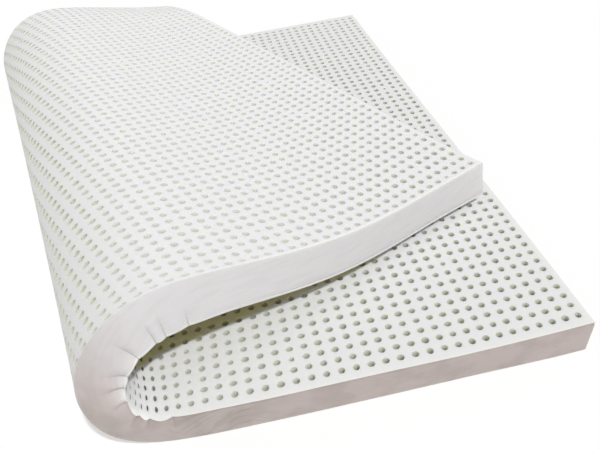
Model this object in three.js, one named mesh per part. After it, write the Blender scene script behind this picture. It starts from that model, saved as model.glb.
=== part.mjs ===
// Latex mattress: one moulded slab of foam rubber, folded over on itself.
// Millimetres, +Z up. The lower layer lies on the floor with its free end at +X, the fold is at -X,
// and the upper layer comes back over the lower one. The fold runs aslant, so the upper layer is
// turned by twice that slant, and its far corner hangs over the back edge of the lower layer.
// The slab is worked out in its own flat sizes and each point is then carried round the fold.
import * as THREE from "three";

// The slab laid flat
const LENGTH = 1900;
const WIDTH = 1500;
const THICKNESS = 80;

// The fold
const SLANT = THREE.MathUtils.degToRad(13.2);
// Height, as a share of the thickness, of the layer that neither stretches nor shortens
const NEUTRAL = 0.264;
// The slope of the slab as it goes round, and how far it runs from the row before to reach it, at
// the front edge, midway and at the back edge. The first row is where it leaves the floor.
const BEND = [
  { slope: 0, front: 699, middle: 711, back: 705 },
  { slope: 30, front: 96, middle: 60, back: 66 },
  { slope: 60, front: 44, middle: 42, back: 44 },
  { slope: 90, front: 56, middle: 76, back: 44 },
  { slope: 135, front: 82, middle: 68, back: 104 },
  { slope: 180, front: 297, middle: 252, back: 207 },
];
// How much further than flat the slab has turned at the last row, before it settles
const OVERTURN = { front: 13.2, middle: 15.5, back: 17.7 };
// Room between the two layers where the upper one lies on the lower one, and how much more of it
// there is at the front edge, fading over LIFT_REACH
const LAYER_GAP = 1.5;
const FRONT_LIFT = 19;
const LIFT_REACH = 200;
// Shortest and longest run in which the upper layer can settle flat
const SETTLE_RANGE = [100, 1400];
// Radius in which the overhanging corner of the upper layer bends down past the lower layer
const DROOP_RADIUS = 743;
// Slopes between which the slab changes from a part of the fold to a part of the upper layer
const DROOP_SLOPES = [135, 171];

// How far the long edges are drawn in towards the middle, by the run along the slab, on the face
// outside the fold and on the face inside it. It fades over DRAW_REACH away from the edge.
const DRAW_IN = [
  { run: 0, outside: 8, inside: 30 },
  { run: 220, outside: 17, inside: 34 },
  { run: 420, outside: 26, inside: 44 },
  { run: 575, outside: 34, inside: 51 },
  { run: 700, outside: 43, inside: 59 },
  { run: 830, outside: 61, inside: 60 },
  { run: 955, outside: 77, inside: 71 },
  { run: 1085, outside: 72, inside: 61 },
  { run: 1235, outside: 37, inside: 32 },
  { run: 1440, outside: -6, inside: -4 },
  { run: 1700, outside: -32, inside: -23 },
  { run: 1950, outside: -50, inside: -47 },
];
const DRAW_REACH = 287;

// The long walls lean in towards the face outside the fold, and swell in the fold. What moves a wall
// fades over WALL_REACH away from it.
const WALL_REACH = 20;
const WALL_LEAN = { outside: -15, inside: 5 };
const WALL_SWELL = 9;
const SWELL_CENTRE = 900;
const SWELL_SPREAD = 150;
// Creases that pinch the long walls near the inner rim of the fold: how deep each one is in the wall
// and at the rim, and the share of the thickness it reaches
const CREASES = [
  { run: 734, deep: 12, rim: 5.5, reach: 0.6 },
  { run: 791, deep: 10, rim: 6, reach: 0.5 },
  { run: 827, deep: 12, rim: 6.5, reach: 0.55 },
  { run: 881, deep: 12, rim: 3.6, reach: 0.55 },
  { run: 921, deep: 12, rim: 3.6, reach: 0.65 },
  { run: 955, deep: 12, rim: 3.6, reach: 0.6 },
  { run: 1015, deep: 13, rim: 4, reach: 0.75 },
  { run: 1073, deep: 10, rim: 3, reach: 0.6 },
  { run: 1099, deep: 9, rim: 2.5, reach: 0.6 },
  { run: 1150, deep: 9, rim: 2.5, reach: 0.5 },
];
// How fast a crease fades past the first and the last of them
const CREASE_FADE = 16;
// How far the inner rim is sunk into the thickness
const RIM_SINK = [
  { run: 700, sunk: 0 },
  { run: 765, sunk: 4.5 },
  { run: 812, sunk: 8 },
  { run: 852, sunk: 12 },
  { run: 881, sunk: 9 },
  { run: 900, sunk: 8.5 },
  { run: 921, sunk: 5 },
  { run: 955, sunk: 0 },
  { run: 1012, sunk: -5 },
  { run: 1050, sunk: -6 },
  { run: 1110, sunk: -6 },
  { run: 1170, sunk: -4 },
  { run: 1240, sunk: 0 },
];
const RIM_REACH = 28;

// Mesh lines along the slab: even steps up to the fold, even steps between the creases, and so on
const FOLD_FROM = 690;
const FOLD_TO = 1300;
const STEPS = { lower: 13, before: 4, crease: 4, after: 10, upper: 17 };
// Mesh rows from an edge to the middle
const ROWS = [0, 14, 32, 60, 105, 170, 260, 370, 490, 620];
const WALL_BANDS = 5;
const SUM_STEP = 2;

const COS = Math.cos(SLANT);
const SIN = Math.sin(SLANT);

const { lerp, degToRad, smoothstep } = THREE.MathUtils;
const clamp01 = (x) => Math.min(1, Math.max(0, x));
const bell = (x, centre, spread) => Math.exp(-(((x - centre) / spread) ** 2));

// Smooth curve through a table of rows {x, y}, level outside it.
function smoothThrough(rows, x) {
  const last = rows.length - 1;
  if (x <= rows[0].x) return rows[0].y;
  if (x >= rows[last].x) return rows[last].y;
  const rate = (a, b) => (b.y - a.y) / (b.x - a.x);
  const tangent = (n) => {
    if (n === 0 || n === last) return 0;
    const [a, b, c] = [rows[n - 1], rows[n], rows[n + 1]];
    return (rate(b, c) * (b.x - a.x) + rate(a, b) * (c.x - b.x)) / (c.x - a.x);
  };
  const k = rows.findIndex((row) => row.x > x) - 1;
  const [a, b] = [rows[k], rows[k + 1]];
  const width = b.x - a.x;
  const u = (x - a.x) / width;
  return (
    a.y * (1 + 2 * u) * (1 - u) ** 2 +
    tangent(k) * width * u * (1 - u) ** 2 +
    b.y * u * u * (3 - 2 * u) +
    tangent(k + 1) * width * u * u * (u - 1)
  );
}

// Value of a row at a place across the slab, from its front, middle and back columns.
function acrossRow({ front, middle, back }, across) {
  const share = clamp01(across / WIDTH);
  return lerp(front, back, share) + (middle - (front + back) / 2) * 4 * share * (1 - share);
}

// Slope angle at each bend row, as running distances for the line at a given place across the slab.
function bendStations(across) {
  let run = 0;
  const stations = BEND.map((row) => {
    run += acrossRow(row, across);
    return { x: run, y: degToRad(row.slope) };
  });
  stations.at(-1).y += degToRad(acrossRow(OVERTURN, across));
  return stations;
}

// Slope angle at a distance, through the stations and then down to the flat upper layer.
function slopeAt(distance, stations, settleRun) {
  const last = stations.at(-1);
  if (distance < last.x) return smoothThrough(stations, distance);
  const done = clamp01((distance - last.x) / settleRun);
  return last.y - ((last.y - Math.PI) * (1 - Math.cos(Math.PI * done))) / 2;
}

// Adds up the slope into the path of the neutral layer: how far it has gone out and up.
function sumPath(stations, settleRun) {
  const first = -WIDTH;
  const count = Math.ceil((LENGTH + 2 * WIDTH) / SUM_STEP);
  const path = [{ angle: 0, out: first, up: 0 }];
  for (let n = 1; n <= count; n++) {
    const angle = slopeAt(first + n * SUM_STEP, stations, settleRun);
    const before = path[n - 1];
    const middle = (angle + before.angle) / 2;
    path.push({
      angle,
      out: before.out + Math.cos(middle) * SUM_STEP,
      up: before.up + Math.sin(middle) * SUM_STEP,
    });
  }
  return path;
}

// The path whose upper layer ends up lying just above the lower one.
function settledPath(across) {
  const stations = bendStations(across);
  const gap = LAYER_GAP + FRONT_LIFT * Math.exp(-across / LIFT_REACH);
  const wantedRise = 2 * (1 - NEUTRAL) * THICKNESS + gap;
  let [low, high] = SETTLE_RANGE;
  const endRise = (settleRun) => sumPath(stations, settleRun).at(-1).up;
  while (high - low > SUM_STEP / 4) {
    const middle = (low + high) / 2;
    if (endRise(middle) > wantedRise) low = middle;
    else high = middle;
  }
  return sumPath(stations, high);
}

function pathPoint(path, distance) {
  const place = (distance + WIDTH) / SUM_STEP;
  const n = Math.min(path.length - 2, Math.max(0, Math.floor(place)));
  const share = place - n;
  const [a, b] = [path[n], path[n + 1]];
  return {
    angle: lerp(a.angle, b.angle, share),
    out: lerp(a.out, b.out, share),
    up: lerp(a.up, b.up, share),
  };
}

// How far a long edge is drawn in towards the middle of the slab, at a share of the thickness.
function drawIn(run, across, depth) {
  const column = (name) => DRAW_IN.map((row) => ({ x: row.run, y: row[name] }));
  const pull = lerp(
    smoothThrough(column("outside"), run),
    smoothThrough(column("inside"), run),
    depth,
  );
  const front = Math.exp(-across / DRAW_REACH);
  const back = Math.exp(-(WIDTH - across) / DRAW_REACH);
  return pull * (front - back);
}

// How deep the creases pinch a wall, how deep at its rim, and how far down the wall they reach.
function creaseAt(run) {
  const last = CREASES.length - 1;
  const next = CREASES.findIndex((crease) => crease.run > run);
  const k = next < 0 ? last : Math.max(1, next);
  const [a, b] = [CREASES[k - 1], CREASES[k]];
  const share = clamp01((run - a.run) / (b.run - a.run));
  const past = Math.max(0, CREASES[0].run - run, run - CREASES[last].run);
  const pinch = (1 - Math.sin(Math.PI * share)) * Math.exp(-past / CREASE_FADE);
  const between = (name) => lerp(a[name], b[name], share);
  return { deep: pinch * between("deep"), rim: pinch * between("rim"), reach: between("reach") };
}

// How far a long wall stands out to the back: its lean, its swelling in the fold and its creases.
function wallShift(run, across, depth) {
  const lean = lerp(WALL_LEAN.outside, WALL_LEAN.inside, depth);
  const swell = WALL_SWELL * bell(run, SWELL_CENTRE, SWELL_SPREAD) * Math.sin(Math.PI * depth);
  const { deep, rim, reach } = creaseAt(run);
  const into = clamp01((depth - 1 + reach) / reach);
  const outwards = lean + swell - lerp(deep, rim, into ** 4) * smoothstep(into, 0, 1);
  const front = Math.exp(-across / WALL_REACH);
  const back = Math.exp(-(WIDTH - across) / WALL_REACH);
  return outwards * (back - front);
}

// How far the inner face is sunk into the thickness close to a long edge.
function rimSink(run, across, depth) {
  const fromEdge = Math.min(across, WIDTH - across);
  const rows = RIM_SINK.map((row) => ({ x: row.run, y: row.sunk }));
  return smoothThrough(rows, run) * Math.exp(-fromEdge / RIM_REACH) * depth * depth;
}

// Carries a point of the flat slab round the fold. Along runs from the free end of the lower layer,
// across from the front edge, and depth from 0 on the face outside the fold to 1 inside it.
function foldPoint(path, along, across, depth) {
  const run = along * COS - across * SIN;
  const moved = drawIn(run, across, depth) + wallShift(run, across, depth);
  const sideways = along * SIN + across * COS + moved;
  const { angle, out, up } = pathPoint(path, run);
  const offset = (depth - NEUTRAL) * THICKNESS - rimSink(run, across, depth);
  const reach = out - Math.sin(angle) * offset;
  const x = -reach * COS - sideways * SIN;
  const y = -reach * SIN + sideways * COS;
  const past = Math.max(0, y - WIDTH);
  const [from, to] = DROOP_SLOPES.map(degToRad);
  const droop = (past ** 2 / (2 * DROOP_RADIUS)) * clamp01((angle - from) / (to - from));
  return new THREE.Vector3(x, y, NEUTRAL * THICKNESS + up + Math.cos(angle) * offset - droop);
}

// Even steps from one value up to, but not including, another.
const spread = (from, to, count) =>
  Array.from({ length: count }, (_, n) => lerp(from, to, n / count));

// The mesh lines, each as a function from a place across the slab to a place along it. They follow
// the fold's own slant there, and the ends of the slab at its ends.
function meshLines() {
  const alongAt = (run, across) => (run + across * SIN) / COS;
  const pairs = CREASES.slice(1).map((crease, n) => [CREASES[n].run, crease.run]);
  const runs = [
    ...spread(FOLD_FROM, CREASES[0].run, STEPS.before),
    ...pairs.flatMap(([from, to]) => spread(from, to, STEPS.crease)),
    ...spread(CREASES.at(-1).run, FOLD_TO, STEPS.after),
  ];
  return [
    ...spread(0, 1, STEPS.lower).map((t) => (across) => t * alongAt(FOLD_FROM, across)),
    ...runs.map((run) => (across) => alongAt(run, across)),
    ...spread(0, 1, STEPS.upper).map((t) => (across) => lerp(alongAt(FOLD_TO, across), LENGTH, t)),
    () => LENGTH,
  ];
}

function foldedSlab() {
  const lines = meshLines();
  const rows = [...ROWS, WIDTH / 2, ...ROWS.map((across) => WIDTH - across).reverse()];
  const paths = rows.map(settledPath);
  const lastRow = rows.length - 1;
  const lastLine = lines.length - 1;
  const points = [];
  const indices = [];
  const numbered = new Map();

  // Number of the mesh point at a row, a line and a level of the thickness
  const point = (row, line, level) => {
    const key = `${row} ${line} ${level}`;
    if (!numbered.has(key)) {
      const across = rows[row];
      numbered.set(key, points.length);
      points.push(foldPoint(paths[row], lines[line](across), across, level / WALL_BANDS));
    }
    return numbered.get(key);
  };
  const quad = (a, b, c, d) => indices.push(a, b, c, a, c, d);

  for (let row = 0; row < lastRow; row++) {
    for (let line = 0; line < lastLine; line++) {
      const corners = (level) => [
        point(row, line, level),
        point(row + 1, line, level),
        point(row + 1, line + 1, level),
        point(row, line + 1, level),
      ];
      quad(...corners(WALL_BANDS));
      quad(...corners(0).reverse());
    }
  }
  for (let level = 0; level < WALL_BANDS; level++) {
    for (let line = 0; line < lastLine; line++) {
      quad(
        point(0, line, level),
        point(0, line, level + 1),
        point(0, line + 1, level + 1),
        point(0, line + 1, level),
      );
      quad(
        point(lastRow, line, level),
        point(lastRow, line + 1, level),
        point(lastRow, line + 1, level + 1),
        point(lastRow, line, level + 1),
      );
    }
    for (let row = 0; row < lastRow; row++) {
      quad(
        point(row, 0, level),
        point(row + 1, 0, level),
        point(row + 1, 0, level + 1),
        point(row, 0, level + 1),
      );
      quad(
        point(row, lastLine, level),
        point(row, lastLine, level + 1),
        point(row + 1, lastLine, level + 1),
        point(row + 1, lastLine, level),
      );
    }
  }
  return new THREE.BufferGeometry().setFromPoints(points).setIndex(indices);
}

// Sets the slab on the floor with the middle of its footprint at the origin.
function centred(geometry) {
  geometry.computeBoundingBox();
  const { min, max } = geometry.boundingBox;
  return geometry.translate(-(min.x + max.x) / 2, -(min.y + max.y) / 2, -min.z);
}

const latex = new THREE.MeshStandardMaterial({
  name: "latex foam",
  color: 0xf1f0ec,
  roughness: 0.75,
  metalness: 0,
});

const slab = new THREE.Mesh(centred(foldedSlab()), latex);
slab.name = "slab";

const mattress = new THREE.Group();
mattress.add(slab);

export default mattress;
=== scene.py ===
"""Dresses the folded latex mattress: the moulded slab with its pin holes, and the room it is shown in.

The slab is modelled flat, as it comes out of its mould, and then every point of it is carried round
the fold. Metres, +Z up. The lower layer's free end is at +X and the fold at -X.
"""

import math

import bpy
import numpy as np
from mathutils import Matrix, Vector


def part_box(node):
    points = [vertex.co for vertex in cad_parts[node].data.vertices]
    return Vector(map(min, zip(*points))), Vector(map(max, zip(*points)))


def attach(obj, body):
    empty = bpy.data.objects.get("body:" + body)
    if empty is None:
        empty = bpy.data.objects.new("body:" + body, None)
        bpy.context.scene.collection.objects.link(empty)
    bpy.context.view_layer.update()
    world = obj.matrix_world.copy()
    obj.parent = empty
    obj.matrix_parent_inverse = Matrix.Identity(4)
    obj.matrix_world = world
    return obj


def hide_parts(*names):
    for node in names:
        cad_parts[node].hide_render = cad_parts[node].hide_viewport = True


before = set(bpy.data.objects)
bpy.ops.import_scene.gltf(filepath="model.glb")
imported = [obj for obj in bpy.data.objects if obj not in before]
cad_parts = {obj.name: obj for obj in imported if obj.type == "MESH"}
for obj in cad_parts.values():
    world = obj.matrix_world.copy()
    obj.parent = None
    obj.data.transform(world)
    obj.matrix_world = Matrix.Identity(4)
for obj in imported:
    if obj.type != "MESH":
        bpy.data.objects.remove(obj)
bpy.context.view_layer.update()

bl_info = {
    "name": "Folded latex mattress",
    "version": (1, 0, 0),
    "blender": (4, 5, 0),
    "location": "3D View > Sidebar > Mattress",
    "description": "Models a folded slab of pin-hole latex foam and a plain room to show it in",
    "category": "Add Mesh",
}

MM = 0.001

# The fold. Runs are in millimetres along the slab, square to the fold, from its lower free end.
SLANT = math.radians(13.2)
# Height, as a share of the thickness, of the layer that neither stretches nor shortens
NEUTRAL = 0.264
# Slope of the slab in degrees, and how far it runs from the row before to reach it, at the front
# edge, midway and at the back edge
BEND = (
    # slope, front, middle, back
    (0, 699, 711, 705),
    (30, 96, 60, 66),
    (60, 44, 42, 44),
    (90, 56, 76, 44),
    (135, 82, 68, 104),
    (180, 297, 252, 207),
)
# Degrees past flat at the last row, at the front edge, midway and at the back edge
OVERTURN = (13.2, 15.5, 17.7)
LAYER_GAP = 1.5
FRONT_LIFT = 19
LIFT_REACH = 200
SETTLE_RANGE = (100, 1400)
DROOP_RADIUS = 743
DROOP_SLOPES = (135, 171)

# How far the long edges are drawn in, on the face outside the fold and on the face inside it
DRAW_IN = (
    # run, outside, inside
    (0, 8, 30),
    (220, 17, 34),
    (420, 26, 44),
    (575, 34, 51),
    (700, 43, 59),
    (830, 61, 60),
    (955, 77, 71),
    (1085, 72, 61),
    (1235, 37, 32),
    (1440, -6, -4),
    (1700, -32, -23),
    (1950, -50, -47),
)
DRAW_REACH = 287

# The long walls lean, swell in the fold and are pinched by creases from its inner rim
WALL_REACH = 20
WALL_LEAN = (-15, 5)
WALL_SWELL = 9
SWELL_CENTRE = 900
SWELL_SPREAD = 150
CREASES = (
    # run, depth, depth at the rim, share of the thickness it reaches
    (734, 12, 5.5, 0.6),
    (791, 10, 6, 0.5),
    (827, 12, 6.5, 0.55),
    (881, 12, 3.6, 0.55),
    (921, 12, 3.6, 0.65),
    (955, 12, 3.6, 0.6),
    (1015, 13, 4, 0.75),
    (1073, 10, 3, 0.6),
    (1099, 9, 2.5, 0.6),
    (1150, 9, 2.5, 0.5),
)
CREASE_FADE = 16
# How far the inner rim is sunk into the thickness
RIM_SINK = (
    # run, sunk
    (700, 0),
    (765, 4.5),
    (812, 8),
    (852, 12),
    (881, 9),
    (900, 8.5),
    (921, 5),
    (955, 0),
    (1012, -5),
    (1050, -6),
    (1110, -6),
    (1170, -4),
    (1240, 0),
)
RIM_REACH = 28

# How far the two faces, with their pin holes, have slid along the slab towards its upper free end.
# The run is taken before the slide.
SLIP = (
    # run, outside, inside
    (250, 0, 0),
    (350, 0, 4),
    (480, 0, 8.5),
    (600, 0, 14),
    (670, 0, 12.5),
    (715, 0, 8),
    (760, 0, 8.5),
    (800, 0, 10),
    (860, 0, 9),
    (920, 1, 5),
    (1000, 3, 0),
    (1150, 8, 0),
    (1300, 9, 0),
    (1500, 9, 0),
    (1700, 5, 0),
    (1850, 0, 0),
)

# Steps of the path and of the places across the slab at which it is worked out
SUM_STEP = 2
ACROSS_STEP = 25

# The mesh rows on a wall: height as a share of the thickness, and how far back it stands there. The
# edge outside the fold is rounded, and the edge inside it has the thin lip that a mould leaves.
WALL_PROFILE = (
    (0, 2.5),
    (0.0092, 0.73),
    (0.0313, 0),
    (0.13, 0),
    (0.26, 0),
    (0.38, 0),
    (0.5, 0),
    (0.62, 0),
    (0.73, 0),
    (0.83, 0),
    (0.91, 0),
    (0.95, 1.2),
    (0.97, 0.3),
    (0.985, 0),
    (1, 0.5),
)
# Part of the slab in which the long walls need fine steps for their creases
FINE_FROM = 640 * MM
FINE_TO = 1640 * MM
FINE_CUTS = 8

# How far the inner mouths of the pin holes are squeezed shut in the tightest part of the fold
HOLE_SQUEEZE = 0.8
SQUEEZE_CENTRE = 860
SQUEEZE_SPREAD = 120

# How unequal the pin holes are: spread of their sizes and of how oval they are, the share of them
# that are partly closed up, and the sizes of those
HOLE_SPREAD = 0.035
OVAL_SPREAD = 0.03
CLOSED_SHARE = 0.018
CLOSED_SIZES = (0.6, 0.85)
# Faces that meet at less than this many degrees are shaded as one
SMOOTH_ANGLE = 52

# The room, in metres and degrees
FLOOR_SIZE = 16
# Direction of the main light, as a place that it shines from towards the middle of the floor
MAIN_LIGHT = (1.02, -1.77, 4.01)
MAIN_LIGHT_WIDTH = 3
SENSOR_WIDTH = 36
CAMERA_PLACE = (-0.0167, -1.4008, 0.9477)
CAMERA_HEADING = -9.79
CAMERA_TILT = 47.63
CAMERA_ROLL = -6.22

# Shades of the foam, some of them painted light and shade. Runs, in metres, between which the walls go
# from the painted shade of the lower layer to the paler upper walls, the skin gets whiter with painted
# light on the top and the pin holes outside the fold go from painted shade on the bend to painted
# light
WALL_TONE_RUNS = (0.82, 1.1)
TOP_SKIN_RUNS = (1.0, 1.15)
TOP_HOLE_RUNS = (0.9, 1.12)
# Runs, in metres, and shares of the thickness between which the creased walls swell and get a painted
# highlight
SWELL_START = (0.87, 0.9)
SWELL_END = (1.02, 1.1)
SWELL_HEIGHTS = (0.45, 0.95)
# Runs, in metres, between which the pin holes inside the fold are pressed shut and painted dark with
# shade
PRESSED_START = (0.7, 0.8)
PRESSED_END = (0.97, 1.05)
# Places towards the back, in metres, between which the pin holes of the lower layer get paler
PALER_BACK = (0.0, 0.7)
# How far in, in metres, a pin hole goes from the colour of its mouth to the painted shade of its depth
HOLE_SHADES = (0, 0.02)
# Half the width of the line of painted shade in a crease, from where it is darkest, in metres
CREASE_LINE = (0.0003, 0.0024)
# Shares of the thickness, from the face outside the fold, between which the shades change from
# those of one face to those of the other, a pressed pin hole gets its painted shade and the painted
# olive shade begins
OTHER_FACE = (0.3, 0.7)
PRESSED_DEPTHS = (0.5, 0.8)
HOLLOW_DEPTHS = (0.4, 0.9)
# The groove under the lip of the walls, where a shadow is painted, as shares of the thickness
GROOVE_START = (0.92, 0.945)
GROOVE_END = (0.95, 0.97)
# The painted shade in a crease is as dark as it gets from the rim down to this share of its reach
CREASE_DARKEST = 0.2
# How dark the painted shade in the creases, in the groove and in the furrows, and the stains are;
# pairs are the share everywhere on the walls and what the fan of wrinkles adds
CREASE_SHADE = 0.5
GROOVE_SHADE = (0.3, 0.5)
STAIN_SHADE = 0.28
FURROW_SHADE = (0.05, 0.27)
# Values of the noise between which a stain or a furrow fades
STAIN_EDGE = (0.42, 0.62)
FURROW_EDGE = (0.38, 0.52)
# Scales and details of the noises, and their heights in the relief
STREAK_NOISE = (1.0, 4.0)
STAIN_NOISE = (16.0, 4.0)
PORE_NOISE = (700.0, 2.0)
WAVE_NOISE = (22.0, 2.0)
PORE_HEIGHT = 0.25
STREAK_HEIGHT = (2.0, 13.0)
CREASE_HEIGHT = 0.8
# The grain of the walls, in waves a metre: along it, across it and how much it is tilted, and how
# much more it is tilted in the fan of wrinkles below the fold
GRAIN_LONG = 16
GRAIN_FINE = 170
GRAIN_TILT = 14
FAN_TILT = 60
FAN_START = (0.56, 0.64)
FAN_END = (0.73, 0.76)
FAN_MIDDLE = 0.68

# The shaded part of the foam deep in the fold, which is painted olive and stays so under any light.
# In plan, in metres, its front side is two lines, y = start + slope x, along the edge of the shade
# that the main light leaves there, and it ends towards the free end and the back.
HOLLOW_SIDES = (
    # start, slope
    (-0.683, 0.21),
    (-0.591, 0.7),
)
HOLLOW_EDGE = (0, 0.008)
HOLLOW_RIGHT = (0.2, 0.3)
HOLLOW_BACK = (-0.3, -0.1)

ONE_SIDED = 1e-5


class SlabSizes(bpy.types.PropertyGroup):
    length: bpy.props.FloatProperty(
        name="Length", description="Length of the slab laid flat", default=1.9, unit="LENGTH"
    )
    width: bpy.props.FloatProperty(
        name="Width", description="Width of the slab laid flat", default=1.5, unit="LENGTH"
    )
    thickness: bpy.props.FloatProperty(
        name="Thickness", description="Thickness of the slab", default=0.08, unit="LENGTH"
    )
    pitch: bpy.props.FloatProperty(
        name="Pitch", description="From one pin hole to the next", default=0.0255, unit="LENGTH"
    )
    holes_along: bpy.props.IntProperty(
        name="Holes along", description="Pin holes along the slab", default=74
    )
    holes_across: bpy.props.IntProperty(
        name="Holes across", description="Pin holes across the slab", default=58
    )
    hole_radius: bpy.props.FloatProperty(
        name="Hole radius", description="Radius of a pin hole", default=0.0068, unit="LENGTH"
    )
    hole_sides: bpy.props.IntProperty(
        name="Hole sides", description="Flat sides that make a hole round", default=8
    )
    seed: bpy.props.IntProperty(
        name="Seed", description="Which pin holes are a little closed up", default=5
    )


class FoamFinish(bpy.types.PropertyGroup):
    skin: bpy.props.FloatVectorProperty(
        name="Skin", description="Colour of the lower layer and the fold",
        default=(0.775, 0.775, 0.768), subtype="COLOR",
    )
    # Painted light: the upper layer's top is the same foam as the rest, painted whiter
    lit_top_skin: bpy.props.FloatVectorProperty(
        name="Top skin", description="Colour of the upper layer's top",
        default=(0.83, 0.83, 0.828), subtype="COLOR",
    )
    wall: bpy.props.FloatVectorProperty(
        name="Walls", description="Colour of the upper layer's side walls",
        default=(0.68, 0.668, 0.67), subtype="COLOR",
    )
    # Painted shade: the lower layer's side walls are the same foam as the upper ones, painted darker
    # and browner
    shaded_low_wall: bpy.props.FloatVectorProperty(
        name="Low walls", description="Colour of the lower layer's side walls",
        default=(0.49, 0.425, 0.405), subtype="COLOR",
    )
    # Painted highlight: the walls are painted paler where they swell between the creases
    swell: bpy.props.FloatVectorProperty(
        name="Swells", description="Colour of the walls where they swell between the creases",
        default=(0.78, 0.77, 0.765), subtype="COLOR",
    )
    # Painted shade deep in the creases, in the furrows and under the lip of the walls; the stains take
    # this colour too
    stain_and_shade: bpy.props.FloatVectorProperty(
        name="Wrinkles", description="Colour deep in the creases and under the lip of the walls",
        default=(0.3, 0.25, 0.21), subtype="COLOR",
    )
    hole_mouth: bpy.props.FloatVectorProperty(
        name="Hole mouth", description="Colour of a pin hole near its mouth",
        default=(0.8, 0.8, 0.76), subtype="COLOR",
    )
    # Painted light: the pin holes in the top are painted paler near their mouths; the pin holes that
    # get paler towards the back take this colour too
    top_mouth: bpy.props.FloatVectorProperty(
        name="Top hole mouth", description="Colour of a pin hole near its mouth in the top",
        default=(0.97, 0.97, 0.93), subtype="COLOR",
    )
    # Painted shade: the pin holes outside the fold, on the bend, painted darker and olive near their
    # mouths
    bend_mouth_shade: bpy.props.FloatVectorProperty(
        name="Bend hole mouth", description="Colour of a pin hole near its mouth outside the fold",
        default=(0.6, 0.6, 0.46), subtype="COLOR",
    )
    # Painted shade: the darker, greener colour deep inside a pin hole
    hole_depth_shade: bpy.props.FloatVectorProperty(
        name="Hole depth", description="Colour of a pin hole deep inside",
        default=(0.6, 0.63, 0.42), subtype="COLOR",
    )
    # Painted shade, paler: deep inside the pin holes of the top and the back
    pale_depth_shade: bpy.props.FloatVectorProperty(
        name="Pale hole depth", description="Colour deep inside the pin holes of the top and the back",
        default=(0.8, 0.82, 0.68), subtype="COLOR",
    )
    # Painted shade: a pin hole pressed shut inside the fold is painted dark
    pressed_hole_shade: bpy.props.FloatVectorProperty(
        name="Pressed hole", description="Colour of a pin hole pressed shut inside the fold",
        default=(0.3, 0.31, 0.22), subtype="COLOR",
    )
    # Painted shade: the olive colour of the foam in the shadow deep in the fold
    hollow_shade: bpy.props.FloatVectorProperty(
        name="Hollow", description="Colour of the foam in the shade deep in the fold",
        default=(0.72, 0.68, 0.42), subtype="COLOR",
    )


class RoomSettings(bpy.types.PropertyGroup):
    floor: bpy.props.FloatVectorProperty(
        name="Floor", description="Colour of the floor", default=(0.57, 0.57, 0.57), subtype="COLOR"
    )
    glow: bpy.props.FloatProperty(
        name="Floor glow", description="Light from below the floor, as on a light table", default=0.4
    )
    sky: bpy.props.FloatProperty(
        name="Soft light", description="Strength of the light from all around", default=0.45
    )
    key: bpy.props.FloatProperty(
        name="Main light", description="Strength of the direct light from the front right", default=2.1
    )
    lens: bpy.props.FloatProperty(
        name="Lens", description="Focal length of the camera", default=34.7, unit="CAMERA"
    )


def smooth_through(places, values, x):
    """A smooth curve through a table of places and values, level outside it."""
    places = np.asarray(places, float)
    values = np.asarray(values, float)
    steps = np.diff(places)
    rates = np.diff(values) / steps
    tangents = np.zeros(len(places))
    tangents[1:-1] = (rates[1:] * steps[:-1] + rates[:-1] * steps[1:]) / (places[2:] - places[:-2])
    x = np.clip(x, places[0], places[-1])
    k = np.clip(np.searchsorted(places, x, side="right") - 1, 0, len(places) - 2)
    u = (x - places[k]) / steps[k]
    return (
        values[k] * (1 + 2 * u) * (1 - u) ** 2
        + tangents[k] * steps[k] * u * (1 - u) ** 2
        + values[k + 1] * u * u * (3 - 2 * u)
        + tangents[k + 1] * steps[k] * u * u * (u - 1)
    )


def bell(x, centre, spread):
    """A bump that is 1 at its centre and dies away to both sides."""
    return np.exp(-(((x - centre) / spread) ** 2))


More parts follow.
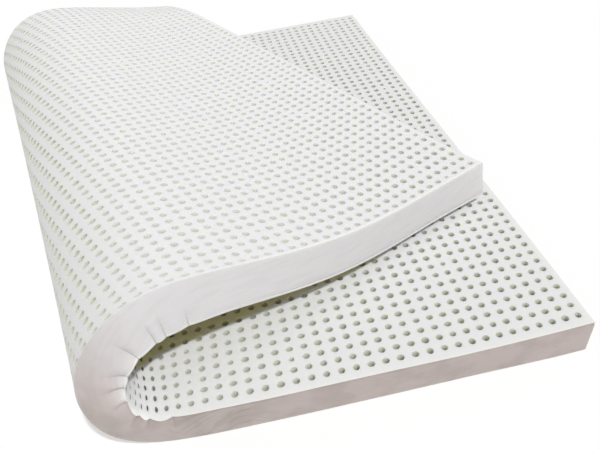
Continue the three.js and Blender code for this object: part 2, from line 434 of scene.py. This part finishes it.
class Fold:
    """Carries points of the flat slab round the fold. Works in millimetres."""

    def __init__(self, sizes):
        self.length = sizes.length / MM
        self.width = sizes.width / MM
        self.thickness = sizes.thickness / MM
        self.across = np.arange(0, self.width + ACROSS_STEP, ACROSS_STEP)
        count = math.ceil((self.length + 2 * self.width) / SUM_STEP)
        self.runs = -self.width + SUM_STEP * np.arange(count + 1)
        self.paths = np.array([self.settled_path(across) for across in self.across])

    def row(self, columns, across):
        """Value at a place across the slab, from the front, middle and back columns."""
        front, middle, back = columns
        share = min(1, across / self.width)
        bulge = (middle - (front + back) / 2) * 4 * share * (1 - share)
        return front + (back - front) * share + bulge

    def stations(self, across):
        """Runs of the rows of the bend, and the slopes there, at a place across the slab."""
        runs = np.cumsum([self.row(row[1:], across) for row in BEND])
        slopes = np.radians([row[0] for row in BEND])
        slopes[-1] += math.radians(self.row(OVERTURN, across))
        return runs, slopes

    def path(self, stations, settle_run):
        """Slope of the neutral layer, and how far it has gone out and up, at each run."""
        places, slopes = stations
        done = np.clip((self.runs - places[-1]) / settle_run, 0, 1)
        settled = slopes[-1] - (slopes[-1] - math.pi) * (1 - np.cos(math.pi * done)) / 2
        slope = np.where(self.runs < places[-1], smooth_through(places, slopes, self.runs), settled)
        middle = (slope[1:] + slope[:-1]) / 2
        out = np.concatenate([[0], np.cumsum(np.cos(middle))]) * SUM_STEP - self.width
        up = np.concatenate([[0], np.cumsum(np.sin(middle))]) * SUM_STEP
        return slope, out, up

    def settled_path(self, across):
        """The path whose upper layer ends up lying just above the lower one."""
        stations = self.stations(across)
        gap = LAYER_GAP + FRONT_LIFT * math.exp(-across / LIFT_REACH)
        wanted = 2 * (1 - NEUTRAL) * self.thickness + gap
        low, high = SETTLE_RANGE
        while high - low > SUM_STEP / 4:
            middle = (low + high) / 2
            if self.path(stations, middle)[2][-1] > wanted:
                low = middle
            else:
                high = middle
        return self.path(stations, high)

    def on_path(self, run, across):
        """Slope of the neutral layer, and how far out and up it is, at each run and place across."""
        place = np.clip((run + self.width) / SUM_STEP, 0, len(self.runs) - 1.001)
        n = place.astype(int)
        along = place - n
        level = np.clip(across / ACROSS_STEP, 0, len(self.across) - 1.001)
        m = level.astype(int)
        beside = level - m

        def pick(kind):
            near = self.paths[m, kind, n] * (1 - along) + self.paths[m, kind, n + 1] * along
            far = self.paths[m + 1, kind, n] * (1 - along) + self.paths[m + 1, kind, n + 1] * along
            return near * (1 - beside) + far * beside

        return pick(0), pick(1), pick(2)

    def draw_in(self, run, across, depth):
        """How far the long edges pull the foam towards the middle of the slab."""
        table = np.array(DRAW_IN, float)
        outside = smooth_through(table[:, 0], table[:, 1], run)
        inside = smooth_through(table[:, 0], table[:, 2], run)
        pull = outside + (inside - outside) * depth
        return pull * (np.exp(-across / DRAW_REACH) - np.exp(-(self.width - across) / DRAW_REACH))

    def crease(self, run):
        """How deep the creases pinch a wall, how deep at its rim, and how far down it they reach."""
        places, *columns = np.array(CREASES, float).T
        k = np.clip(np.searchsorted(places, run, side="right") - 1, 0, len(places) - 2)
        share = np.clip((run - places[k]) / (places[k + 1] - places[k]), 0, 1)
        past = np.maximum(0, np.maximum(places[0] - run, run - places[-1]))
        pinch = (1 - np.sin(math.pi * share)) * np.exp(-past / CREASE_FADE)
        deep, rim, reach = (column[k] + (column[k + 1] - column[k]) * share for column in columns)
        return pinch * deep, pinch * rim, reach

    def wall_shift(self, run, across, depth):
        """How far a long wall and the foam near it stand out or in."""
        lean = WALL_LEAN[0] + (WALL_LEAN[1] - WALL_LEAN[0]) * depth
        swell = WALL_SWELL * bell(run, SWELL_CENTRE, SWELL_SPREAD) * np.sin(math.pi * depth)
        deep, rim, reach = self.crease(run)
        into = np.clip((depth - 1 + reach) / reach, 0, 1)
        pinch = (deep + (rim - deep) * into**4) * into * into * (3 - 2 * into)
        outwards = lean + swell - pinch
        return outwards * (np.exp(-(self.width - across) / WALL_REACH) - np.exp(-across / WALL_REACH))

    def rim_sink(self, run, across, depth):
        """How far the face inside the fold is sunk near the long edges."""
        from_edge = np.minimum(across, self.width - across)
        places, values = np.array(RIM_SINK, float).T
        sunk = smooth_through(places, values, run)
        return sunk * np.exp(-from_edge / RIM_REACH) * depth * depth

    def slip(self, run, across, depth):
        """How far the foam has slid along the slab; outside the fold most at the front edge."""
        places, outside, inside = np.array(SLIP, float).T
        outer = smooth_through(places, outside, run) * (1 - across / self.width)
        return outer * (1 - depth) + smooth_through(places, inside, run) * depth

    def run_at(self, along, across):
        return along * math.cos(SLANT) - across * math.sin(SLANT)

    def slid(self, along, across, depth):
        """Places along the slab after the faces have slid, and their runs."""
        along = along + self.slip(self.run_at(along, across), across, depth)
        return along, self.run_at(along, across)

    def carry(self, along, across, depth):
        """Places, as rows of x, y and z, of points given by their places in the flat slab."""
        cos, sin = math.cos(SLANT), math.sin(SLANT)
        along, run = self.slid(along, across, depth)
        moved = self.draw_in(run, across, depth) + self.wall_shift(run, across, depth)
        sideways = along * sin + across * cos + moved
        slope, out, up = self.on_path(run, across)
        offset = (depth - NEUTRAL) * self.thickness - self.rim_sink(run, across, depth)
        reach = out - np.sin(slope) * offset
        x = -reach * cos - sideways * sin
        y = -reach * sin + sideways * cos
        first, last = np.radians(DROOP_SLOPES)
        over = np.maximum(0, y - self.width) ** 2 / (2 * DROOP_RADIUS)
        droop = over * np.clip((slope - first) / (last - first), 0, 1)
        z = NEUTRAL * self.thickness + up + np.cos(slope) * offset - droop
        return np.stack([x, y, z], axis=1)


def places_of(mesh):
    places = np.empty(len(mesh.vertices) * 3)
    mesh.vertices.foreach_get("co", places)
    return places.reshape(-1, 3)


def select_edges(piece, wanted):
    """Selects the edges for which a function of their two ends, as arrays of places, is true."""
    mesh = piece.data
    bpy.ops.object.mode_set(mode="EDIT")
    bpy.ops.mesh.select_mode(type="EDGE")
    bpy.ops.mesh.select_all(action="DESELECT")
    bpy.ops.object.mode_set(mode="OBJECT")
    places = places_of(mesh)
    ends = np.empty(len(mesh.edges) * 2, int)
    mesh.edges.foreach_get("vertices", ends)
    first, second = places[ends[0::2]], places[ends[1::2]]
    mesh.edges.foreach_set("select", wanted(first, second))
    bpy.ops.object.mode_set(mode="EDIT")


def flat_skin(sizes):
    """The upper face of the flat slab: one square of skin with its pin hole, repeated into a net."""
    first = (sizes.length - sizes.holes_along * sizes.pitch) / 2 + sizes.pitch / 2
    side = (sizes.width - sizes.holes_across * sizes.pitch) / 2 + sizes.pitch / 2
    centre = (first, side, sizes.thickness)
    bpy.ops.mesh.primitive_plane_add(size=sizes.pitch, location=centre)
    skin = bpy.context.object
    skin.name = "latex_slab"
    bpy.ops.object.transform_apply(location=True, rotation=True, scale=True)
    bpy.ops.object.mode_set(mode="EDIT")
    bpy.ops.mesh.delete(type="ONLY_FACE")
    turn = math.pi / sizes.hole_sides
    bpy.ops.mesh.primitive_circle_add(
        vertices=sizes.hole_sides, radius=sizes.hole_radius, location=centre, rotation=(0, 0, turn)
    )
    bpy.ops.mesh.select_all(action="SELECT")
    bpy.ops.mesh.bridge_edge_loops()
    bpy.ops.mesh.normals_make_consistent(inside=False)
    bpy.ops.object.mode_set(mode="OBJECT")
    if skin.data.polygons[0].normal.z < 0:
        skin.data.flip_normals()
    for axis, count in enumerate((sizes.holes_along, sizes.holes_across)):
        row = skin.modifiers.new("row of holes", "ARRAY")
        row.count = count
        row.use_relative_offset = False
        row.use_constant_offset = True
        row.constant_offset_displace = Vector((0, 0, 0))
        row.constant_offset_displace[axis] = sizes.pitch
        row.use_merge_vertices = True
        row.merge_threshold = ONE_SIDED * 10
        bpy.ops.object.modifier_apply(modifier=row.name)
    return skin


def on_outline(places, low, high):
    """Which places lie on the outline of a rectangle."""
    return ((np.abs(places - low) < ONE_SIDED) | (np.abs(places - high) < ONE_SIDED)).any(axis=1)


def add_border(skin, sizes):
    """Draws the edge of the net out to the edge of the slab."""
    net = np.array((sizes.holes_along, sizes.holes_across)) * sizes.pitch
    slab = np.array((sizes.length, sizes.width))
    low, high = (slab - net) / 2, (slab + net) / 2

    def outer(first, second):
        middle = (first[:, :2] + second[:, :2]) / 2
        return on_outline(middle, low, high)

    select_edges(skin, outer)
    bpy.ops.mesh.extrude_edges_move()
    bpy.ops.transform.resize(
        value=(slab[0] / net[0], slab[1] / net[1], 1), center_override=(*(slab / 2), sizes.thickness)
    )
    bpy.ops.object.mode_set(mode="OBJECT")


def thicken(skin, sizes):
    """Gives the skin the thickness of the slab, which also makes the hole walls and the side walls."""
    shell = skin.modifiers.new("thickness", "SOLIDIFY")
    shell.thickness = sizes.thickness
    shell.offset = -1
    bpy.ops.object.modifier_apply(modifier=shell.name)


def divide_walls(slab, sizes):
    """Cuts the side walls into rows, and into fine steps where the creases are."""
    low, high = np.zeros(2), np.array((sizes.length, sizes.width))

    def upright(first, second):
        tall = np.abs(first[:, 2] - second[:, 2]) > sizes.thickness / 2
        return tall & on_outline(first[:, :2], low, high)

    select_edges(slab, upright)
    bpy.ops.mesh.subdivide(number_cuts=len(WALL_PROFILE) - 2)
    bpy.ops.object.mode_set(mode="OBJECT")

    def level(first, second):
        across = (first[:, 1] + second[:, 1]) / 2
        along = (first[:, 0] + second[:, 0]) / 2
        edge = (np.abs(across) < ONE_SIDED) | (np.abs(across - sizes.width) < ONE_SIDED)
        lying = np.abs(first[:, 2] - second[:, 2]) < ONE_SIDED
        return edge & lying & (along > FINE_FROM) & (along < FINE_TO)

    select_edges(slab, level)
    bpy.ops.mesh.subdivide(number_cuts=FINE_CUTS)
    bpy.ops.object.mode_set(mode="OBJECT")


def shape_walls(places, sizes):
    """Sets the wall rows at their heights and gives them the profile of the moulded edges."""
    size = np.array((sizes.length, sizes.width))
    outer = on_outline(places[:, :2], np.zeros(2), size)
    even = np.linspace(0, 1, len(WALL_PROFILE))
    shares, insets = np.array(WALL_PROFILE).T
    height = np.interp(places[:, 2] / sizes.thickness, even, shares) * sizes.thickness
    inset = np.interp(places[:, 2] / sizes.thickness, even, insets) * MM
    shaped = places.copy()
    shaped[outer, 2] = height[outer]
    for axis in (0, 1):
        for end, way in ((0, 1), (size[axis], -1)):
            there = np.abs(places[:, axis] - end) < ONE_SIDED
            shaped[there, axis] += way * inset[there]
    return shaped


def uneven_holes(places, sizes):
    """Makes the pin holes a little unequal, and closes a few of them up in part."""
    rng = np.random.default_rng(sizes.seed)
    counts = (sizes.holes_along, sizes.holes_across)
    spread = rng.normal(1, HOLE_SPREAD, counts)
    closed = rng.random(counts) < CLOSED_SHARE
    spread[closed] = rng.uniform(*CLOSED_SIZES, closed.sum())
    oval = rng.normal(0, OVAL_SPREAD, counts)
    first = (np.array((sizes.length, sizes.width)) - np.array(counts) * sizes.pitch) / 2
    cell = np.floor((places[:, :2] - first) / sizes.pitch).astype(int)
    cell = np.clip(cell, 0, np.array(counts) - 1)
    centre = first + (cell + 0.5) * sizes.pitch
    away = places[:, :2] - centre
    rim = np.hypot(*away.T) < sizes.hole_radius * 1.01
    i, j = cell[rim].T
    shaped = places.copy()
    run = (places[rim, 0] * math.cos(SLANT) - places[rim, 1] * math.sin(SLANT)) / MM
    inner = places[rim, 2] > sizes.thickness / 2
    squeeze = 1 - HOLE_SQUEEZE * bell(run, SQUEEZE_CENTRE, SQUEEZE_SPREAD) * inner
    stretch = np.stack([(spread[i, j] + oval[i, j]) * squeeze, spread[i, j] - oval[i, j]], axis=1)
    shaped[rim, :2] = centre[rim] + away[rim] * stretch
    return shaped


def mark_surface(mesh, flat, run, sizes):
    """Records on each corner its depth in the slab, its run, its flat place and what it belongs to."""
    corners = np.empty(len(mesh.loops), int)
    mesh.loops.foreach_get("vertex_index", corners)
    totals = np.empty(len(mesh.polygons), int)
    mesh.polygons.foreach_get("loop_total", totals)
    face_of = np.repeat(np.arange(len(totals)), totals)
    starts = np.concatenate([[0], np.cumsum(totals)[:-1]])
    high = np.maximum.reduceat(flat[corners, 2], starts)
    low = np.minimum.reduceat(flat[corners, 2], starts)
    size = np.array((sizes.length, sizes.width))
    outline = on_outline(flat[:, :2], np.zeros(2), size)[corners]
    outer = np.logical_and.reduceat(outline, starts)
    upright = high - low > ONE_SIDED
    marks = {
        "pin_hole": (upright & ~outer)[face_of].astype(float),
        "side_wall": (upright & outer)[face_of].astype(float),
        "depth": flat[corners, 2] / sizes.thickness,
        "run": run[corners],
    }
    for name, values in marks.items():
        mesh.attributes.new(name, "FLOAT", "CORNER").data.foreach_set("value", values)
    layout = mesh.uv_layers.new(name="flat")
    layout.data.foreach_set("uv", flat[corners, :2].astype(np.float32).ravel())


class Wire:
    """A socket's value in a shader, so that shader maths can be written as expressions."""

    def __init__(self, board, socket):
        self.board = board
        self.socket = socket

    def __add__(self, other):
        return self.board.maths("ADD", self, other)

    def __radd__(self, other):
        return self.board.maths("ADD", other, self)

    def __sub__(self, other):
        return self.board.maths("SUBTRACT", self, other)

    def __rsub__(self, other):
        return self.board.maths("SUBTRACT", other, self)

    def __mul__(self, other):
        return self.board.maths("MULTIPLY", self, other)

    def __rmul__(self, other):
        return self.board.maths("MULTIPLY", other, self)


class Board:
    """The node tree of one material."""

    def __init__(self, name):
        self.material = bpy.data.materials.new(name)
        self.material.use_nodes = True
        self.tree = self.material.node_tree
        self.tree.nodes.clear()

    def node(self, kind, settings, sockets):
        """Adds a node of a type, with its settings and then the values or wires of its sockets."""
        made = self.tree.nodes.new(kind)
        for name, value in settings.items():
            setattr(made, name, value)
        for name, value in sockets.items():
            if isinstance(value, Wire):
                self.tree.links.new(value.socket, made.inputs[name])
            else:
                made.inputs[name].default_value = value
        return made

    def wire(self, kind, settings, sockets, output=0):
        return Wire(self, self.node(kind, settings, sockets).outputs[output])

    def maths(self, operation, *values):
        return self.wire("ShaderNodeMath", {"operation": operation}, dict(enumerate(values)))

    def mark(self, name):
        return self.wire("ShaderNodeAttribute", {"attribute_name": name}, {}, "Fac")

    def step(self, value, start, end):
        """0 below start and 1 above end, with a smooth rise between them."""
        sockets = {"Value": value, "From Min": start, "From Max": end}
        return self.wire("ShaderNodeMapRange", {"interpolation_type": "SMOOTHSTEP"}, sockets)

    def mix(self, share, first, second):
        """A colour between two colours."""
        sockets = {0: share, 6: first, 7: second}
        return self.wire("ShaderNodeMix", {"data_type": "RGBA"}, sockets, 2)

    def noise(self, place, scale, detail):
        sockets = {"Vector": place, "Scale": scale, "Detail": detail}
        return self.wire("ShaderNodeTexNoise", {}, sockets)

    def finish(self, sockets):
        shader = self.node("ShaderNodeBsdfPrincipled", {}, sockets)
        output = self.node("ShaderNodeOutputMaterial", {}, {})
        self.tree.links.new(shader.outputs[0], output.inputs[0])
        return self.material


def colour(values):
    return (*values, 1)


def latex_finish(sizes, finish):
    """Matt white latex skin with greyer walls, fine wrinkles and stains, and painted light and shade:
    a whiter top, darker and browner lower walls, highlights on the swells, shade in the creases, the
    furrows and the groove under the lip, green-grey shade in the pin holes and olive shade in the
    fold.
    """
    board = Board("latex foam")
    place = board.wire("ShaderNodeTexCoord", {}, {}, "Object")
    flat = board.wire("ShaderNodeUVMap", {"uv_map": "flat"}, {})
    x, y = (board.wire("ShaderNodeSeparateXYZ", {}, {0: place}, axis) for axis in "XY")
    hole, wall, depth, run = map(board.mark, ("pin_hole", "side_wall", "depth", "run"))
    height = depth * sizes.thickness
    in_deep = board.maths("MINIMUM", height, sizes.thickness - height)

    outer = 1 - board.step(depth, *OTHER_FACE)
    # Painted light: the skin is painted whiter on the upper layer's top
    top = board.step(run, *TOP_SKIN_RUNS) * outer
    skin = board.mix(top, colour(finish.skin), colour(finish.lit_top_skin))
    # Pin holes outside the fold: painted shade near their mouths on the bend, painted light on the top
    high = board.step(run, *TOP_HOLE_RUNS)
    outer_mouth = board.mix(high, colour(finish.bend_mouth_shade), colour(finish.top_mouth))
    far = board.step(y, *PALER_BACK)
    inner_mouth = board.mix(far, colour(finish.hole_mouth), colour(finish.top_mouth))
    mouth = board.mix(outer, inner_mouth, outer_mouth)
    pale = outer + far * (1 - outer)
    deep_shade = board.mix(pale, colour(finish.hole_depth_shade), colour(finish.pale_depth_shade))
    # Painted shade: a pin hole goes from the colour of its mouth to the darker, greener shade of its
    # depth
    inside = board.mix(board.step(in_deep, *HOLE_SHADES), mouth, deep_shade)
    # Painted shade: pin holes pressed shut inside the fold are painted dark
    pressed = board.step(run, *PRESSED_START) * (1 - board.step(run, *PRESSED_END))
    pressed = pressed * board.step(depth, *PRESSED_DEPTHS)
    inside = board.mix(pressed, inside, colour(finish.pressed_hole_shade))
    # Painted shade: the foam deep in the fold, behind the edge of the main light's shadow, is painted
    # olive
    first, second = (y - start - slope * x for start, slope in HOLLOW_SIDES)
    behind = board.step(board.maths("MAXIMUM", first, second), *HOLLOW_EDGE)
    inner = behind * board.step(depth, *HOLLOW_DEPTHS)
    ends = (1 - board.step(x, *HOLLOW_RIGHT)) * (1 - board.step(y, *HOLLOW_BACK))
    hollow_shade = inner * ends
    faces = board.mix(hollow_shade, board.mix(hole, skin, inside), colour(finish.hollow_shade))

    # Painted shade: the lower layer's side walls are painted darker and browner than the upper ones
    raised = board.step(run, *WALL_TONE_RUNS)
    walls = board.mix(raised, colour(finish.shaded_low_wall), colour(finish.wall))
    # Painted highlight: the walls are painted paler where they swell between the creases
    swell_highlight = board.step(run, *SWELL_START) * (1 - board.step(run, *SWELL_END))
    swell_highlight = swell_highlight * board.step(depth, *SWELL_HEIGHTS)
    walls = board.mix(swell_highlight, walls, colour(finish.swell))
    # Painted shade: a thin dark line down each crease, which the relief also sinks a little
    creased = 0
    for centre, _, _, reach in CREASES:
        apart = board.maths("ABSOLUTE", run - centre * MM)
        line = 1 - board.step(apart, *CREASE_LINE)
        creased = line * board.step(depth, 1 - reach, 1 - CREASE_DARKEST * reach) + creased
    # Painted shadow in the groove under the lip of the walls
    groove = board.step(depth, *GROOVE_START) * (1 - board.step(depth, *GROOVE_END))
    fan = board.step(run, *FAN_START) * (1 - board.step(run, *FAN_END))
    drift = run * GRAIN_TILT + (run - FAN_MIDDLE) * fan * FAN_TILT
    grain = board.wire(
        "ShaderNodeCombineXYZ", {}, {0: run * GRAIN_LONG, 1: height * GRAIN_FINE + drift}
    )
    streaks = board.noise(grain, *STREAK_NOISE)
    stains = board.step(board.noise(place, *STAIN_NOISE), *STAIN_EDGE) * (1 - raised)
    # Painted shade in the furrows of the grain, where its relief is lowest
    furrows = 1 - board.step(streaks, *FURROW_EDGE)

    def with_fan(pair):
        everywhere, added = pair
        return everywhere + added * fan

    # Painted shade in the creases, the groove and the furrows, and the stains, all in the one dark
    # colour
    dark = CREASE_SHADE * creased + with_fan(GROOVE_SHADE) * groove
    dark = dark + STAIN_SHADE * stains + with_fan(FURROW_SHADE) * furrows
    walls = board.mix(board.maths("MINIMUM", dark, 1.0), walls, colour(finish.stain_and_shade))
    shade = board.mix(wall, faces, walls)

    skin_relief = PORE_HEIGHT * board.noise(flat, *PORE_NOISE) + board.noise(flat, *WAVE_NOISE)
    wall_relief = with_fan(STREAK_HEIGHT) * streaks - CREASE_HEIGHT * creased
    relief = skin_relief * (1 - wall) + wall_relief * wall
    bump = board.wire(
        "ShaderNodeBump", {}, {"Strength": 0.35, "Distance": 0.0015, "Height": relief}
    )
    return board.finish(
        {
            "Base Color": shade,
            "Roughness": 0.62,
            "Subsurface Weight": 0.6,
            "Subsurface Radius": (1.0, 1.0, 0.75),
            "Subsurface Scale": 0.012,
            "Normal": bump,
        }
    )


class BEDDING_OT_folded_slab(bpy.types.Operator):
    """Models the moulded slab flat, with all its pin holes, and folds it over on itself"""

    bl_idname = "bedding.folded_slab"
    bl_label = "Add folded latex slab"

    def execute(self, context):
        sizes = context.scene.slab_sizes
        finish = context.scene.foam_finish
        slab = flat_skin(sizes)
        add_border(slab, sizes)
        thicken(slab, sizes)
        divide_walls(slab, sizes)

        # The fold turns the faces of the slab inside out, so they are turned round beforehand
        mesh = slab.data
        mesh.flip_normals()
        flat = places_of(mesh)
        shaped = uneven_holes(shape_walls(flat, sizes), sizes)
        along, across, height = (shaped / MM).T
        fold = Fold(sizes)
        depth = height / fold.thickness
        mark_surface(mesh, flat, fold.slid(along, across, depth)[1] * MM, sizes)
        folded = fold.carry(along, across, depth) * MM
        cad_low, cad_high = (np.array(corner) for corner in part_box("slab"))
        low, high = folded.min(axis=0), folded.max(axis=0)
        shift = (cad_low + cad_high - low - high) / 2
        shift[2] = cad_low[2] - low[2]
        mesh.vertices.foreach_set("co", (folded + shift).ravel())
        mesh.update()
        bpy.ops.object.shade_smooth_by_angle(angle=math.radians(SMOOTH_ANGLE))

        mesh.materials.clear()
        mesh.materials.append(latex_finish(sizes, finish))
        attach(slab, "root")
        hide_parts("slab")
        return {"FINISHED"}


class BEDDING_OT_plain_room(bpy.types.Operator):
    """Adds a pale floor that glows a little, soft and direct light and a camera about a metre up"""

    bl_idname = "bedding.plain_room"
    bl_label = "Add plain room"

    def execute(self, context):
        room = context.scene.room_settings
        bpy.ops.mesh.primitive_plane_add(size=FLOOR_SIZE, location=(0, 0, 0))
        floor = bpy.context.object
        floor.name = "floor"
        board = Board("plain floor")
        lit = {"Emission Color": (1, 1, 1, 1), "Emission Strength": room.glow}
        look = {"Base Color": colour(room.floor), "Roughness": 0.9, **lit}
        floor.data.materials.append(board.finish(look))

        world = bpy.data.worlds.new("soft light")
        world.use_nodes = True
        world.node_tree.nodes["Background"].inputs["Color"].default_value = (1, 1, 1, 1)
        world.node_tree.nodes["Background"].inputs["Strength"].default_value = room.sky
        context.scene.world = world
        bpy.ops.object.light_add(type="SUN", location=MAIN_LIGHT)
        lamp = context.object
        lamp.name = "main light"
        lamp.data.energy = room.key
        lamp.data.angle = math.radians(MAIN_LIGHT_WIDTH)
        lamp.rotation_euler = Vector(MAIN_LIGHT).to_track_quat("Z", "Y").to_euler()

        bpy.ops.object.camera_add()
        camera = bpy.context.object
        camera.data.lens = room.lens
        camera.data.sensor_width = SENSOR_WIDTH
        heading = Matrix.Rotation(math.radians(CAMERA_HEADING), 4, "Z")
        tilt = Matrix.Rotation(math.radians(CAMERA_TILT), 4, "X")
        roll = Matrix.Rotation(math.radians(CAMERA_ROLL), 4, "Z")
        camera.matrix_world = Matrix.Translation(CAMERA_PLACE) @ heading @ tilt @ roll
        context.scene.camera = camera
        context.scene.view_settings.view_transform = "Standard"
        return {"FINISHED"}


class BEDDING_PT_mattress(bpy.types.Panel):
    """Sizes, colours and light of the mattress"""

    bl_idname = "BEDDING_PT_mattress"
    bl_label = "Latex mattress"
    bl_space_type = "VIEW_3D"
    bl_region_type = "UI"
    bl_category = "Mattress"

    def draw(self, context):
        layout = self.layout
        for group in (
            context.scene.slab_sizes,
            context.scene.foam_finish,
            context.scene.room_settings,
        ):
            for name in group.bl_rna.properties.keys():
                if name not in ("rna_type", "name"):
                    layout.prop(group, name)
        layout.operator(BEDDING_OT_folded_slab.bl_idname)
        layout.operator(BEDDING_OT_plain_room.bl_idname)


CLASSES = (
    SlabSizes,
    FoamFinish,
    RoomSettings,
    BEDDING_OT_folded_slab,
    BEDDING_OT_plain_room,
    BEDDING_PT_mattress,
)


def register():
    for made in CLASSES:
        bpy.utils.register_class(made)
    bpy.types.Scene.slab_sizes = bpy.props.PointerProperty(type=SlabSizes)
    bpy.types.Scene.foam_finish = bpy.props.PointerProperty(type=FoamFinish)
    bpy.types.Scene.room_settings = bpy.props.PointerProperty(type=RoomSettings)


def unregister():
    del bpy.types.Scene.room_settings
    del bpy.types.Scene.foam_finish
    del bpy.types.Scene.slab_sizes
    for made in reversed(CLASSES):
        bpy.utils.unregister_class(made)


def main():
    register()
    bpy.ops.object.select_all(action="DESELECT")
    bpy.ops.bedding.folded_slab()
    bpy.ops.bedding.plain_room()


if __name__ == "__main__":
    main()
